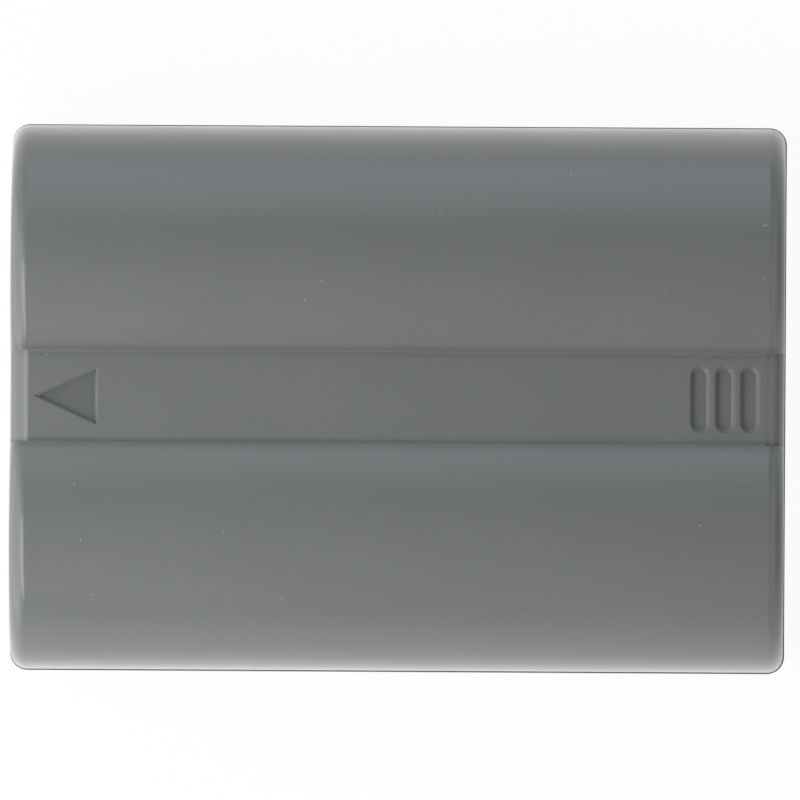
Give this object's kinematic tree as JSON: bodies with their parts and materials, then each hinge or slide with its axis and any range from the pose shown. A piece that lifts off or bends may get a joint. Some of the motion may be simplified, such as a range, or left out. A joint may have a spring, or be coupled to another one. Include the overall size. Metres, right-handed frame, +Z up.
{
  "type": "camera battery",
  "caption": "Rechargeable camera battery with round-topped humps over its cells, a sunk arrow, finger grooves and blade slots in its contact end.",
  "frame": {"origin": "middle of the flat base, on the surface that the battery lies on", "axes": "+X along the battery, from the contact end to the finger-grip end; +Y across the two cells; +Z up from the flat base to the humps"},
  "size_m": [0.056, 0.0396, 0.021],
  "materials": {
    "case_plastic": "satin moulded grey ABS and polycarbonate",
    "holder_plastic": "moulded black nylon",
    "plated_contact": "gold-plated phosphor bronze",
    "cell_steel": "nickel-plated drawn steel",
    "sleeve_film": "heat-shrunk PVC film",
    "ring_fibre": "pressed fibre washer",
    "tape_film": "amber polyimide tape",
    "nickel_strip": "rolled pure nickel",
    "board_laminate": "green solder mask on glass epoxy",
    "chip_epoxy": "moulded epoxy",
    "chip_ceramic": "fired ceramic",
    "bead_resin": "dipped epoxy resin",
    "insulator_film": "folded polyester film",
    "pad_foam": "closed-cell foam"
  },
  "bodies": {
    "root": {"upper_case": "case_plastic", "lower_case": "case_plastic", "terminal_holder": "holder_plastic", "contact_positive": "plated_contact", "contact_data": "plated_contact", "contact_negative": "plated_contact", "cell_a": "cell_steel", "cell_b": "cell_steel", "sleeve_a": "sleeve_film", "sleeve_b": "sleeve_film", "ring_a": "ring_fibre", "ring_b": "ring_fibre", "tape_a": "tape_film", "tape_b": "tape_film", "positive_strip": "nickel_strip", "negative_strip": "nickel_strip", "series_link": "nickel_strip", "circuit_board": "board_laminate", "protection_ic": "chip_epoxy", "power_mosfet": "chip_epoxy", "gauge_ic": "chip_epoxy", "chip_fuse": "chip_ceramic", "chip_resistors": "chip_ceramic", "chip_capacitors": "chip_ceramic", "thermistor": "bead_resin", "board_insulator": "insulator_film", "end_pad": "pad_foam"}
  },
  "joints": []
}
